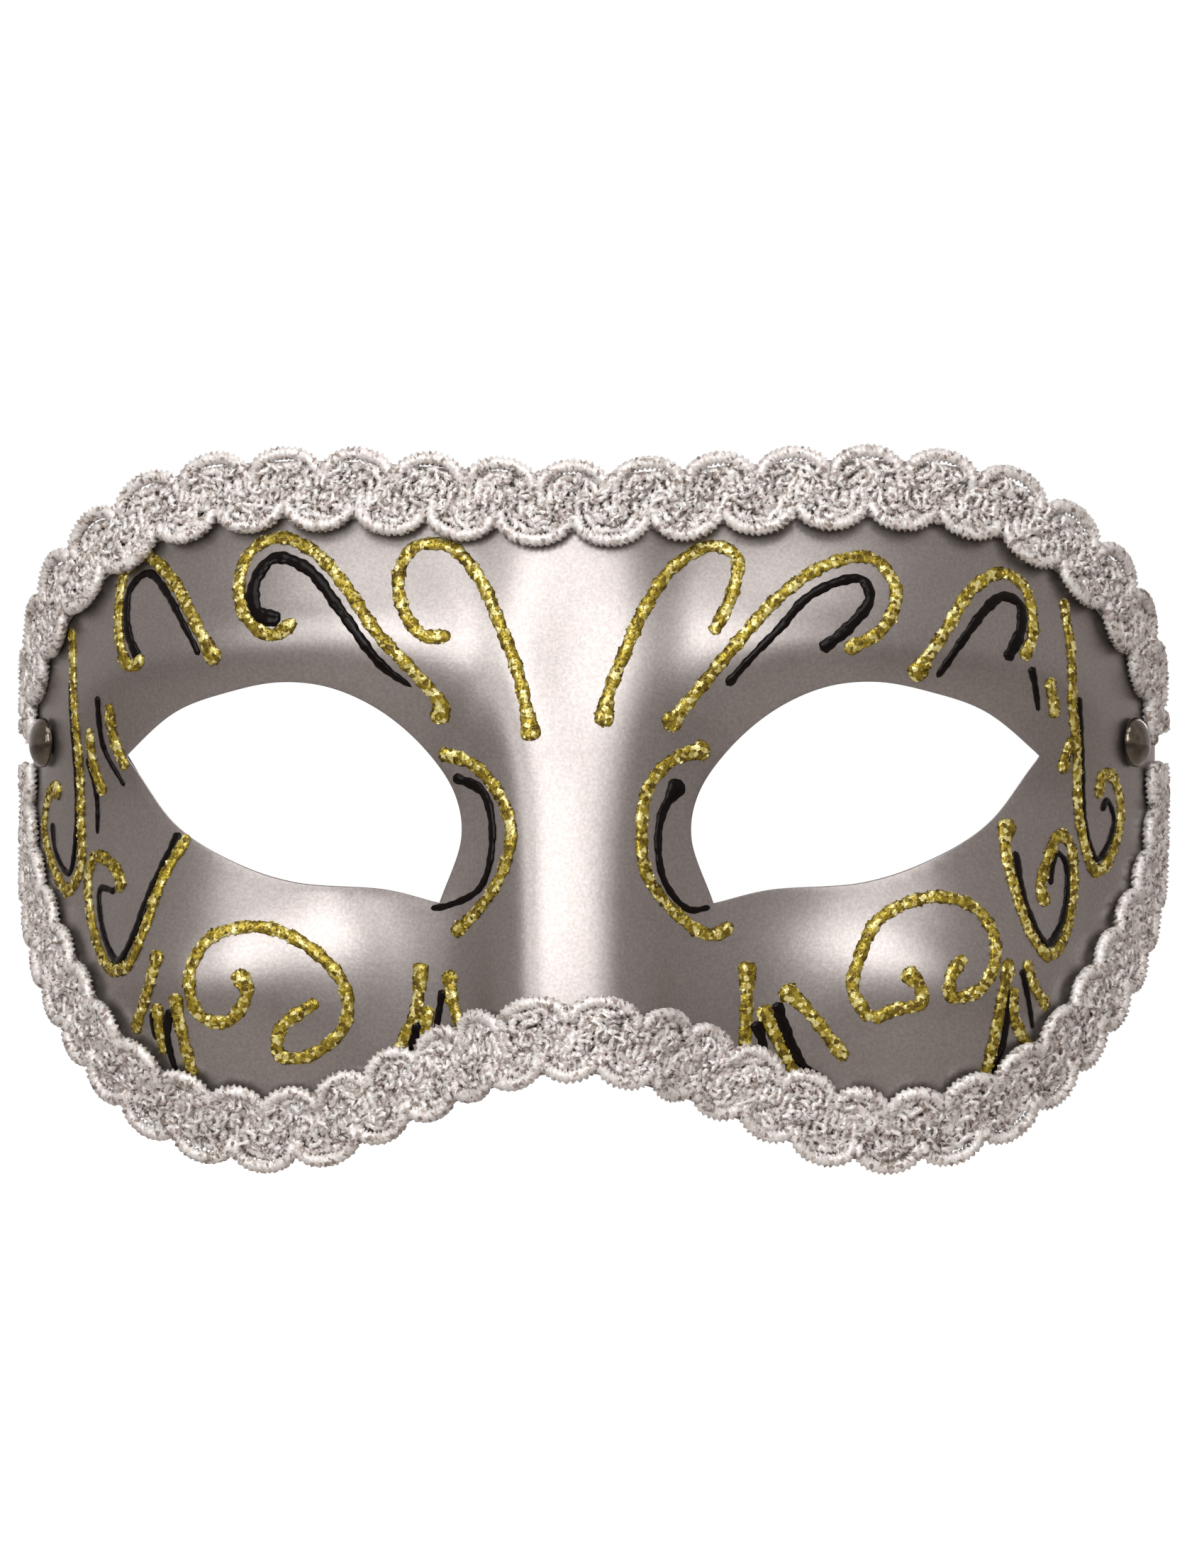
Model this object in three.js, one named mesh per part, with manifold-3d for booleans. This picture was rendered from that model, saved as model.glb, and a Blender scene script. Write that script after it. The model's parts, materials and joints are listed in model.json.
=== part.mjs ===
// Venetian half mask: a moulded shell with a felt lining, a gimp braid glued round its rim in two
// lengths, and a two-part rivet at each temple.
//
// Millimetres, +Z up. The wearer looks along -Y, so the decorated front faces -Y and +X is at the
// right of someone looking at it. The origin is on the centre line at pupil height, midway between
// the two rivets.
//
// Everything that follows the face is drawn flat first, in (u, z, t): u is the distance round the
// mask from its centre line, z the height, t the height above the shell's front face. faceToSpace
// then wraps it round the head and gives it the nose, brows, sockets and cheeks.
import * as THREE from "three";
import { mergeVertices } from "three/addons/utils/BufferGeometryUtils.js";
import Module from "manifold-3d";

const wasm = await Module();
wasm.setup();

// ---- driving dimensions ----
const HALF_WRAP = 107; // from the centre line round to the temple edge
const TURN_U = 92; // the distance round at which the mask has turned TURN from frontal
const TURN = THREE.MathUtils.degToRad(66);
const TURN_POWER = 1.8; // flat across the forehead, then ever tighter towards the temples

const SHELL_T = 1.8;
const LINING_T = 0.8;
const LINING_INSET = 1.5; // the lining stops this far inside the shell's edges
const BRAID_W = 11.5;
const BRAID_T = 2.5;
const BRAID_OPEN_Z = 6.4; // height of the middle of the bare stretch between the two lengths of braid
const BRAID_OPEN = 4; // length of that bare stretch, beside each rivet
const GAP = 0.3; // between neighbouring pieces
const GLUE_GAP = 0.5; // between glued layers, whose facets differ a little on the curved face

const RIVET_Z = 7;
const RIVET_DOME_R = 3.65;
const RIVET_DOME_H = 2.2;
const RIVET_TUBE_R = 1.7;
const RIVET_PIN_R = 0.8;
const RIVET_BASE_R = 3.4;
const RIVET_BASE_T = 0.8;
const WASHER_R = 3.9;
const WASHER_T = 0.8;
const SEAT_GAP = 0.4; // flat washer and dome against the curved wall
const RIVET_FROM_BRAID = 0.85; // bare shell between the dome and the braid
const RIVET_U = HALF_WRAP - BRAID_W - RIVET_FROM_BRAID - RIVET_DOME_R; // from the centre line

// Half of the rim, from the top of the forehead round the temple to the nose arch, as (u, z).
const RIM = [
  [0, 45.7], [18, 46.8], [36, 48], [52, 47.6], [62, 45.8], [72, 41.6],
  [HALF_WRAP - 23, 34.6], [HALF_WRAP - 12, 26.6], [HALF_WRAP - 4, 18.6], [HALF_WRAP, 10],
  [HALF_WRAP, -6], [HALF_WRAP - 4, -14.6], [HALF_WRAP - 13, -24], [HALF_WRAP - 25, -34],
  [70, -43.4], [61, -49.2], [52, -52.4], [43, -53.4], [34, -52.2], [24, -48], [14, -43.8], [6, -41], [0, -40.2],
];
// The eye hole: over the top from its outer corner to its inner lower corner, then back underneath.
const EYE_TOP = [
  [68, 4.9], [58, 11.2], [50, 13.8], [42, 15.3], [35, 14.6], [28, 11.4], [21.5, 5.8], [17.2, -0.5],
  [16.2, -6.5], [19.3, -15.8],
];
const EYE_BOTTOM = [[19.3, -15.8], [27, -14], [41, -12.9], [50, -9.9], [60, -4.2], [68, 4.9]];

// ---- the shape of the face ----
const STEP = 0.5;
const section = [{ x: 0, y: 0 }]; // the plan curve, a point every STEP
for (let s = STEP; s < HALF_WRAP * 1.4; s += STEP) {
  const turn = turnAt(s - STEP / 2);
  const last = section.at(-1);
  section.push({ x: last.x + STEP * Math.cos(turn), y: last.y + STEP * Math.sin(turn) });
}

function turnAt(u) {
  return TURN * Math.pow(Math.abs(u) / TURN_U, TURN_POWER) * Math.sign(u);
}

function alongSection(u) {
  const steps = Math.abs(u) / STEP;
  const i = Math.min(Math.floor(steps), section.length - 2);
  const part = steps - i;
  return {
    x: Math.sign(u) * THREE.MathUtils.lerp(section[i].x, section[i + 1].x, part),
    y: THREE.MathUtils.lerp(section[i].y, section[i + 1].y, part),
  };
}

const bell = (q) => Math.exp(-q * q);
const ramp = (from, to, v) => THREE.MathUtils.smoothstep((v - from) / (to - from), 0, 1);

// How far the front face stands out from the plain wrapped surface.
function relief(u, z) {
  const a = Math.abs(u);
  const ridge = 0.5 * Math.exp(-Math.pow(a / 12.5, 4.5)) + 0.5 * Math.exp(-Math.pow(a / 20, 2.6));
  const nose = (3 + 13 * ramp(28, -60, z)) * ridge;
  const browLine = 22 - 0.0045 * (a - 38) ** 2;
  const brow = 4.5 * bell((z - browLine) / 11) * (1 - bell(a / 22)) * (1 - ramp(62, 90, a));
  const socket = -3.9 * bell((a - 36) / 17) * bell((z + 4) / 13);
  const cheek = 7.5 * bell((a - 55) / 16.5) * bell((z + 28) / 17);
  return nose + brow + socket + cheek;
}

// The forehead and the cheeks lean back towards the head.
const lean = (z) => 0.004 * Math.max(z - 5, 0) ** 2 + 0.0016 * Math.max(-z - 15, 0) ** 2;

const ORIGIN_Y = alongSection(RIVET_U).y;

function faceToSpace(u, z, t) {
  const { x, y } = alongSection(u);
  const turn = turnAt(u);
  const out = relief(u, z) + t;
  return new THREE.Vector3(
    x + Math.sin(turn) * out,
    y - ORIGIN_Y - Math.cos(turn) * out + lean(z) * Math.cos(turn) ** 2,
    z,
  );
}

// ---- solids ----
function solidOf(geometry) {
  const g = geometry.clone();
  g.deleteAttribute("normal");
  g.deleteAttribute("uv");
  const merged = mergeVertices(g, 1e-4);
  return new wasm.Manifold(
    new wasm.Mesh({
      numProp: 3,
      vertProperties: merged.attributes.position.array,
      triVerts: new Uint32Array(merged.index.array),
    }),
  );
}

function geometryOf(solid) {
  const { vertProperties, triVerts } = solid.getMesh();
  const g = new THREE.BufferGeometry();
  g.setAttribute("position", new THREE.BufferAttribute(vertProperties, 3));
  g.setIndex(new THREE.BufferAttribute(triVerts, 1));
  return g;
}

function mapPoints(geometry, move) {
  const p = geometry.attributes.position;
  for (let i = 0; i < p.count; i++) {
    const v = move(p.getX(i), p.getY(i), p.getZ(i));
    p.setXYZ(i, v.x, v.y, v.z);
  }
  return geometry;
}

// ---- outlines, flat, as lists of Vector2 ----
function splineThrough(points, samples) {
  return new THREE.SplineCurve(points.map(([u, z]) => new THREE.Vector2(u, z))).getSpacedPoints(samples);
}

// Anticlockwise, which is the winding an extruded shape needs before it turns its holes to suit.
function rimOutline() {
  const mirrored = RIM.slice(1, -1).reverse().map(([u, z]) => [-u, z]);
  const around = [...RIM, ...mirrored].map(([u, z]) => new THREE.Vector3(u, z, 0));
  const curve = new THREE.CatmullRomCurve3(around, true, "centripetal");
  return curve.getSpacedPoints(132).slice(0, -1).reverse().map((p) => new THREE.Vector2(p.x, p.y));
}

function eyeOutline(side) {
  const over = splineThrough(EYE_TOP, 26).slice(0, -1);
  const under = splineThrough(EYE_BOTTOM, 14).slice(0, -1);
  return [...over, ...under].map((p) => new THREE.Vector2(p.x * side, p.y));
}

// A closed outline moved sideways: inwards for a positive distance on either winding.
function insetOutline(outline, distance) {
  const inward = THREE.ShapeUtils.area(outline) > 0 ? 1 : -1;
  return outline.map((p, i) => {
    const before = outline.at(i - 1);
    const after = outline[(i + 1) % outline.length];
    const run = after.clone().sub(before).normalize();
    return new THREE.Vector2(p.x - run.y * distance * inward, p.y + run.x * distance * inward);
  });
}

// ---- a layer of the mask: an outline cut from a gridded slab, then wrapped ----
const GRID = 5;
const SLAB_U = HALF_WRAP + 3 * GRID;
const SLAB_Z = 13 * GRID;
const DISH = 0.002; // keeps the slab's grid points from lying in one plane while it is cut
const dish = (u, z) => DISH * (u * u + z * z);

function layer(outline, holes, from, to, band) {
  const slab = new THREE.BoxGeometry(
    2 * SLAB_U, 2 * SLAB_Z, to - from,
    Math.round((2 * SLAB_U) / GRID), Math.round((2 * SLAB_Z) / GRID), 1,
  ).translate(0, 0, (from + to) / 2);
  mapPoints(slab, (u, z, t) => ({ x: u, y: z, z: t + dish(u, z) }));

  const shape = new THREE.Shape(outline);
  shape.holes = holes.map((hole) => new THREE.Path(hole));
  const depth = 2 * dish(SLAB_U, SLAB_Z) + 20;
  const cutter = new THREE.ExtrudeGeometry(shape, { depth, bevelEnabled: false }).translate(0, 0, -10);
  let cut = solidOf(slab).intersect(solidOf(cutter));
  if (band) {
    const height = band.top - band.bottom;
    const keep = new THREE.BoxGeometry(2 * SLAB_U, height, 2 * depth);
    keep.translate(0, band.bottom + height / 2, 0);
    cut = cut.intersect(solidOf(keep));
  }
  return mapPoints(geometryOf(cut), (u, z, t) => faceToSpace(u, z, t - dish(u, z)));
}

// ---- rivets: a frame at each temple whose +Z points straight out of the shell ----
const STACK = {
  domeSeat: SEAT_GAP,
  washerTop: -(SHELL_T + GLUE_GAP + LINING_T + SEAT_GAP),
};
STACK.washerBack = STACK.washerTop - WASHER_T;
STACK.baseTop = STACK.washerBack - GAP;
STACK.baseBack = STACK.baseTop - RIVET_BASE_T;

function rivetFrame(side) {
  const u = RIVET_U * side;
  const turn = turnAt(u);
  const frame = new THREE.Group();
  frame.position.copy(faceToSpace(u, RIVET_Z, 0));
  const out = new THREE.Vector3(Math.sin(turn), -Math.cos(turn), 0);
  frame.quaternion.setFromUnitVectors(new THREE.Vector3(0, 0, 1), out);
  frame.updateMatrixWorld(true);
  return frame;
}

const ROUND = 24;
function lathe(profile) {
  const points = profile.map(([r, t]) => new THREE.Vector2(r, t));
  return new THREE.LatheGeometry(points, ROUND).rotateX(Math.PI / 2);
}

// Domed front cap with its tube, open at the back for the pin.
function capGeometry() {
  const bore = RIVET_PIN_R + GAP;
  const tubeEnd = STACK.baseTop + GAP;
  const boreTop = STACK.domeSeat + RIVET_DOME_H * 0.3;
  const profile = [
    [0, boreTop], [bore, boreTop], [bore, tubeEnd], [RIVET_TUBE_R, tubeEnd],
    [RIVET_TUBE_R, STACK.domeSeat], [RIVET_DOME_R, STACK.domeSeat],
  ];
  const SLICES = 5;
  for (let i = 1; i <= SLICES; i++) {
    const lift = (i / SLICES) * (Math.PI / 2);
    const r = i === SLICES ? 0 : RIVET_DOME_R * Math.cos(lift);
    profile.push([r, STACK.domeSeat + RIVET_DOME_H * Math.sin(lift)]);
  }
  return lathe(profile);
}

// Back half: a flat base with the pin that is driven up the tube.
function postGeometry() {
  const tip = STACK.domeSeat + RIVET_DOME_H * 0.3 - GAP;
  return lathe([
    [0, STACK.baseBack], [RIVET_BASE_R, STACK.baseBack], [RIVET_BASE_R, STACK.baseTop],
    [RIVET_PIN_R, STACK.baseTop], [RIVET_PIN_R, tip], [0, tip],
  ]);
}

function washerGeometry() {
  const inner = RIVET_TUBE_R + GAP;
  return lathe([
    [inner, STACK.washerBack], [WASHER_R, STACK.washerBack], [WASHER_R, STACK.washerTop],
    [inner, STACK.washerTop], [inner, STACK.washerBack],
  ]);
}

// Clearance holes for both rivets through one layer.
function withRivetHoles(geometry) {
  let solid = solidOf(geometry);
  for (const side of [-1, 1]) {
    const frame = rivetFrame(side);
    const drill = new THREE.CylinderGeometry(RIVET_TUBE_R + GAP, RIVET_TUBE_R + GAP, 16, ROUND);
    drill.rotateX(Math.PI / 2).applyMatrix4(frame.matrixWorld);
    solid = solid.subtract(solidOf(drill));
  }
  return geometryOf(solid);
}

// ---- materials ----
const finish = (color, metalness, roughness) =>
  new THREE.MeshStandardMaterial({ color, metalness, roughness, side: THREE.DoubleSide });
const silverPaint = finish(0x9a9094, 0.8, 0.35);
const blackFelt = finish(0x17151a, 0, 0.95);
const silverThread = finish(0xbab3ad, 0.7, 0.45);
const darkNickel = finish(0x5a5148, 1, 0.3);

// ---- assembly ----
const mask = new THREE.Group();

function add(name, geometry, material, parent = mask) {
  const mesh = new THREE.Mesh(geometry, material);
  mesh.name = name;
  parent.add(mesh);
}

const rim = rimOutline();
const eyes = [eyeOutline(-1), eyeOutline(1)];
add("shell", withRivetHoles(layer(rim, eyes, -SHELL_T, 0)), silverPaint);

const liningFront = -(SHELL_T + GLUE_GAP);
const liningRim = insetOutline(rim, LINING_INSET);
const liningEyes = eyes.map((eye) => insetOutline(eye, -LINING_INSET));
const lining = layer(liningRim, liningEyes, liningFront - LINING_T, liningFront);
add("lining", withRivetHoles(lining), blackFelt);

const braidInner = insetOutline(rim, BRAID_W);
const braid = (band) => layer(rim, [braidInner], GLUE_GAP, GLUE_GAP + BRAID_T, band);
add("braid_upper", braid({ bottom: BRAID_OPEN_Z + BRAID_OPEN / 2, top: SLAB_Z }), silverThread);
add("braid_lower", braid({ bottom: -SLAB_Z, top: BRAID_OPEN_Z - BRAID_OPEN / 2 }), silverThread);

for (const [word, side] of [["left", -1], ["right", 1]]) {
  const frame = rivetFrame(side);
  add(`rivet_cap_${word}`, capGeometry(), darkNickel, frame);
  add(`rivet_washer_${word}`, washerGeometry(), darkNickel, frame);
  add(`rivet_post_${word}`, postGeometry(), darkNickel, frame);
  mask.add(frame);
}

export default mask;
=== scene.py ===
"""Venetian half mask: satin silver shell, black felt lining, looped silver braid, glitter and enamel
scrollwork, and a dark domed rivet at each temple.

Sizes are in millimetres until to_space() puts a point in the frame, which is in metres. Everything
that follows the face is drawn flat in (u, z, t): u is the distance round the mask from its centre
line, z the height and t the height above the shell's front face.
"""
import json
import math

import bpy
import numpy as np
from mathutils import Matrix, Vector
from mathutils.geometry import delaunay_2d_cdt

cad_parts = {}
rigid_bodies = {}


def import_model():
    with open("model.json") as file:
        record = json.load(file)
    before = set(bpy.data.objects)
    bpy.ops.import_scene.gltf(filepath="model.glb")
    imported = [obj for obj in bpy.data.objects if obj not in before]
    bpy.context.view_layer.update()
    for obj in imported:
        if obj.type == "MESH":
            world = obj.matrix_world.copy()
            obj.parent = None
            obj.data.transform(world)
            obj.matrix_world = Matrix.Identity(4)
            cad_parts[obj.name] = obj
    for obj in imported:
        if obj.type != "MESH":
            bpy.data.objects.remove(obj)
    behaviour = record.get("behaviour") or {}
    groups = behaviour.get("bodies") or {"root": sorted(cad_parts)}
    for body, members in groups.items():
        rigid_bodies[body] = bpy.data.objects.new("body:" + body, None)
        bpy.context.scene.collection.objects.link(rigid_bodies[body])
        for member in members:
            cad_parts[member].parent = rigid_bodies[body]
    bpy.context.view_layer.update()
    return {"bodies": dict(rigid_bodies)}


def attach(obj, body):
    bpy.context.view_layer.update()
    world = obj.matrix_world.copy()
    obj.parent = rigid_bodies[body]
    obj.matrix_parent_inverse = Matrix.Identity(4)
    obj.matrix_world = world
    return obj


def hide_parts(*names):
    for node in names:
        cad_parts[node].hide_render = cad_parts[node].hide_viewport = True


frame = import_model()
(BODY,) = frame["bodies"]  # nothing on the mask moves, so every piece rides on its one body
MM = 0.001

# ---- driving sizes, as the frame has them ----
HALF_WRAP = 107  # from the centre line round to the temple edge
TURN_U = 92  # the distance round at which the mask has turned TURN from frontal
TURN = math.radians(66)
TURN_POWER = 1.8  # flat across the forehead, then ever tighter towards the temples
SHELL_T = 1.8
GLUE_GAP = 0.5  # between glued layers
LINING_T = 0.8
LINING_INSET = 1.5  # the lining stops this far inside the shell's edges
BRAID_W = 11.5
BRAID_OPEN_Z = 6.4  # height of the middle of the bare stretch between the two lengths of braid
BRAID_OPEN = 4  # length of that bare stretch, beside each rivet
RIVET_U = 91
RIVET_Z = 7
RIVET_HOLE_R = 2.0

# Half of the rim, from the top of the forehead round the temple to the nose arch, as (u, z).

RIM_HALF = [
    (0, 45.7), (18, 46.8), (36, 48), (52, 47.6), (62, 45.8), (72, 41.6),
    (HALF_WRAP - 23, 34.6), (HALF_WRAP - 12, 26.6), (HALF_WRAP - 4, 18.6), (HALF_WRAP, 10),
    (HALF_WRAP, -6), (HALF_WRAP - 4, -14.6), (HALF_WRAP - 13, -24), (HALF_WRAP - 25, -34),
    (70, -43.4), (61, -49.2), (52, -52.4), (43, -53.4), (34, -52.2), (24, -48), (14, -43.8),
    (6, -41), (0, -40.2),
]
# The eye hole: over the top from its outer corner to its inner lower corner, then back underneath.
EYE_TOP = [
    (68, 4.9), (58, 11.2), (50, 13.8), (42, 15.3), (35, 14.6), (28, 11.4), (21.5, 5.8),
    (17.2, -0.5), (16.2, -6.5), (19.3, -15.8),
]
EYE_BOTTOM = [(19.3, -15.8), (27, -14), (41, -12.9), (50, -9.9), (60, -4.2), (68, 4.9)]


# ---- the shape of the face ----
def turn_at(u):
    """The angle that the mask has turned from frontal at a distance round it."""
    return TURN * (np.abs(u) / TURN_U) ** TURN_POWER * np.sign(u)


# The plan curve, a point every SECTION_STEP of the distance round, past the temple edge.
SECTION_STEP = 0.25
SECTION_U = np.arange(0, HALF_WRAP * 1.3, SECTION_STEP)
SECTION_TURN = turn_at(SECTION_U[1:] - SECTION_STEP / 2)
SECTION_X = np.concatenate([[0], np.cumsum(np.cos(SECTION_TURN)) * SECTION_STEP])
SECTION_Y = np.concatenate([[0], np.cumsum(np.sin(SECTION_TURN)) * SECTION_STEP])
ORIGIN_Y = np.interp(RIVET_U, SECTION_U, SECTION_Y)


def bell(q):
    return np.exp(-q * q)


def ramp(low, high, v):
    f = np.clip((v - low) / (high - low), 0, 1)
    return f * f * (3 - 2 * f)


def relief(u, z):
    """How far the front face stands out from the plain wrapped surface."""
    a = np.abs(u)
    ridge = 0.5 * np.exp(-((a / 12.5) ** 4.5)) + 0.5 * np.exp(-((a / 20) ** 2.6))
    nose = (3 + 13 * ramp(28, -60, z)) * ridge
    brow_line = 22 - 0.0045 * (a - 38) ** 2
    brow = 4.5 * bell((z - brow_line) / 11) * (1 - bell(a / 22)) * (1 - ramp(62, 90, a))
    socket = -3.9 * bell((a - 36) / 17) * bell((z + 4) / 13)
    cheek = 7.5 * bell((a - 55) / 16.5) * bell((z + 28) / 17)
    return nose + brow + socket + cheek


def lean(z):
    """How far the forehead and the cheeks lean back towards the head."""
    return 0.004 * np.maximum(z - 5, 0) ** 2 + 0.0016 * np.maximum(-z - 15, 0) ** 2


def to_space(u, z, t):
    """Flat (u, z, t) in millimetres to points of the frame in metres."""
    u, z, t = np.broadcast_arrays(*(np.asarray(v, float) for v in (u, z, t)))
    turn = turn_at(u)
    out = relief(u, z) + t
    x = np.sign(u) * np.interp(np.abs(u), SECTION_U, SECTION_X) + np.sin(turn) * out
    y = np.interp(np.abs(u), SECTION_U, SECTION_Y) - ORIGIN_Y - np.cos(turn) * out
    y = y + lean(z) * np.cos(turn) ** 2
    return np.stack([x, y, z], -1) * MM


def unit(v):
    """The same directions with a length of one."""
    return v / np.maximum(np.linalg.norm(v, axis=-1, keepdims=True), 1e-12)


def face_normal(u, z):
    """The front face's true normal, pointing away from the wearer."""
    reach = 0.05
    across = to_space(u + reach, z, 0) - to_space(u - reach, z, 0)
    up = to_space(u, z + reach, 0) - to_space(u, z - reach, 0)
    return unit(np.cross(across, up))


def on_face(u, z, height):
    """A point that stands off the front face by height along its true normal."""
    return to_space(u, z, 0) + face_normal(u, z) * (np.asarray(height)[..., None] * MM)


# ---- flat curves ----
SPAN_POINTS = 24  # points worked out between each two given ones, before resampling
CIRCLE_POINTS = 28


def catmull(points, step, closed=False):
    """A smooth centripetal curve through the points, sampled about every step."""
    p = np.asarray(points, float)
    if closed:
        p = np.concatenate([p[-1:], p, p[:2]])
    else:
        p = np.concatenate([2 * p[:1] - p[1:2], p, 2 * p[-1:] - p[-2:-1]])
    out = []
    for a, b, c, d in zip(p, p[1:], p[2:], p[3:]):
        spans = [max(np.linalg.norm(end - start), 1e-6) ** 0.5 for start, end in ((a, b), (b, c), (c, d))]
        k0, k1, k2, k3 = np.cumsum([0] + spans)
        t = np.linspace(k1, k2, SPAN_POINTS, endpoint=False)[:, None]
        ab = (k1 - t) / (k1 - k0) * a + (t - k0) / (k1 - k0) * b
        bc = (k2 - t) / (k2 - k1) * b + (t - k1) / (k2 - k1) * c
        cd = (k3 - t) / (k3 - k2) * c + (t - k2) / (k3 - k2) * d
        abc = (k2 - t) / (k2 - k0) * ab + (t - k0) / (k2 - k0) * bc
        bcd = (k3 - t) / (k3 - k1) * bc + (t - k1) / (k3 - k1) * cd
        out.append((k2 - t) / (k2 - k1) * abc + (t - k1) / (k2 - k1) * bcd)
    return resample(np.concatenate(out + [p[-2:-1]]), step)


def resample(curve, step):
    """The same curve with its points evenly about step apart."""
    run = np.concatenate([[0], np.cumsum(np.linalg.norm(np.diff(curve, axis=0), axis=1))])
    count = max(int(round(run[-1] / step)), 2)
    at = np.linspace(0, run[-1], count + 1)
    return np.stack([np.interp(at, run, curve[:, i]) for i in range(curve.shape[1])], -1)


def closed_left(outline):
    """The direction to the left of a closed outline at each of its points."""
    run = np.roll(outline, -1, 0) - np.roll(outline, 1, 0)
    return unit(np.stack([-run[:, 1], run[:, 0]], -1))


def rim_outline(step):
    """The whole rim, anticlockwise from the middle of the nose arch."""
    around = RIM_HALF + [(-u, z) for u, z in RIM_HALF[-2:0:-1]]
    return catmull(around[::-1], step, closed=True)[:-1]


def eye_outline(side, step):
    """An eye hole on the left (-1) or the right (1)."""
    over = catmull(EYE_TOP, step)[:-1]
    under = catmull(EYE_BOTTOM, step)[:-1]
    eye = np.concatenate([over, under])
    if side < 0:
        eye = (eye * (-1, 1))[::-1]
    return eye


def circle_outline(u, z, radius):
    a = np.linspace(0, math.tau, CIRCLE_POINTS, endpoint=False)
    return np.stack([u + radius * np.cos(a), z + radius * np.sin(a)], -1)


def signed_area(outline):
    """The area inside a closed outline, positive where it runs anticlockwise."""
    x, y = outline[:, 0], outline[:, 1]
    return 0.5 * float(np.sum(x * np.roll(y, -1) - y * np.roll(x, -1)))


def inside(points, outline):
    """Which points lie inside a closed outline."""
    x, y = points[:, 0:1], points[:, 1:2]
    x0, y0 = outline[:, 0][None], outline[:, 1][None]
    x1, y1 = np.roll(x0, -1, 1), np.roll(y0, -1, 1)
    crosses = (y0 > y) != (y1 > y)
    with np.errstate(divide="ignore", invalid="ignore"):
        at = (x1 - x0) * (y - y0) / (y1 - y0) + x0
    return (np.sum(crosses & (x < at), axis=1) % 2) == 1


def in_layer(points, outlines):
    """Which points lie inside the first outline and outside the others, which are holes."""
    keep = inside(points, outlines[0])
    for hole in outlines[1:]:
        keep &= ~inside(points, hole)
    return keep


def gaps(points, edge):
    """The distance from each point to each point of an edge."""
    return np.linalg.norm(points[:, None] - edge[None], axis=2)


# ---- meshes ----
def add_object(name, data):
    obj = bpy.data.objects.new(name, data)
    bpy.context.scene.collection.objects.link(obj)
    return obj


def mesh_object(name, points, faces):
    mesh = bpy.data.meshes.new(name)
    mesh.from_pydata([tuple(p) for p in points], [], [tuple(f) for f in faces])
    mesh.update()
    mesh.polygons.foreach_set("use_smooth", [True] * len(mesh.polygons))
    return add_object(name, mesh)


# A layer's rolled edge is drawn at these angles round its corner.
ROLL_ANGLES = [math.radians(a) for a in (30, 60, 90)]
SPLAY_FADE = 5  # how far from a hole's edge its splay still moves the points of the back


def flat_layer(inner, spacing):
    """Fills a layer between its edges with flat triangles, about spacing wide.

    Returns the points, the triangles and, for each edge, the numbers of its points.
    """
    low, high = inner[0].min(0), inner[0].max(0)
    gx, gz = np.meshgrid(np.arange(low[0], high[0], spacing), np.arange(low[1], high[1], spacing))
    gx = gx + (np.arange(gx.shape[0])[:, None] % 2) * spacing / 2
    grid = np.stack([gx.ravel(), gz.ravel()], -1)
    grid = grid[in_layer(grid, inner)]
    to_edge = np.min([gaps(grid, edge).min(1) for edge in inner], axis=0)
    grid = grid[to_edge > 0.55 * spacing]

    rings = []
    first = 0
    for edge in inner:
        rings.append(list(range(first, first + len(edge))))
        first += len(edge)
    sides = [(a, b) for ring in rings for a, b in zip(ring, ring[1:] + ring[:1])]
    given = [Vector(p) for p in np.concatenate([*inner, grid])]
    verts, _, faces, origins, _, _ = delaunay_2d_cdt(given, sides, [], 0, 1e-7)
    flat = np.array([tuple(v) for v in verts])
    triangles = np.array([tuple(f) for f in faces])
    triangles = triangles[in_layer(flat[triangles].mean(1), inner)]
    number_of = {old: new for new, olds in enumerate(origins) for old in olds}
    return flat, triangles, [[number_of[i] for i in ring] for ring in rings]


def layer_mesh(name, outlines, front, back, spacing, roll, splay=None):
    """A layer of the mask between two heights, its edges rolled over by a radius.

    outlines[0] is the outer edge and the rest are holes. splay(u) is how far a hole's wall runs back
    into the layer between its front and its back.
    """
    outlines = [o if (signed_area(o) > 0) == (i == 0) else o[::-1] for i, o in enumerate(outlines)]
    lefts = [closed_left(o) for o in outlines]
    inner = [o + left * roll for o, left in zip(outlines, lefts)]
    spreads = [splay(o[:, 0]) if splay and i > 0 else np.zeros(len(o)) for i, o in enumerate(outlines)]
    flat, triangles, rings = flat_layer(inner, spacing)

    flat_back = flat.copy()
    for edge, left, spread in zip(inner, lefts, spreads):
        gap = gaps(flat, edge)
        nearest = gap.argmin(1)
        fade = np.clip(1 - gap.min(1) / SPLAY_FADE, 0, 1)
        flat_back += left[nearest] * (spread[nearest] * fade)[:, None]
    points = [to_space(flat[:, 0], flat[:, 1], front), to_space(flat_back[:, 0], flat_back[:, 1], back)]
    count = len(flat)
    layer_faces = [tuple(f) for f in triangles] + [tuple(f[::-1] + count) for f in triangles]

    wall = [(1 - math.sin(a), front - roll * (1 - math.cos(a))) for a in ROLL_ANGLES]
    wall += [(share, front + back - t) for share, t in wall[::-1]]
    used = 2 * count
    for ring, outline, left, spread in zip(rings, outlines, lefts, spreads):
        rows = [ring]
        for share, t in wall:
            depth = (front - t) / (front - back)
            edge = outline + left * (roll * share + spread * depth)[:, None]
            points.append(to_space(edge[:, 0], edge[:, 1], t))
            rows.append(list(range(used, used + len(edge))))
            used += len(edge)
        rows.append([i + count for i in ring])
        for above, below in zip(rows, rows[1:]):
            for i in range(len(ring)):
                j = (i + 1) % len(ring)
                layer_faces.append((above[j], above[i], below[i], below[j]))
    return mesh_object(name, np.concatenate(points), layer_faces)


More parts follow.
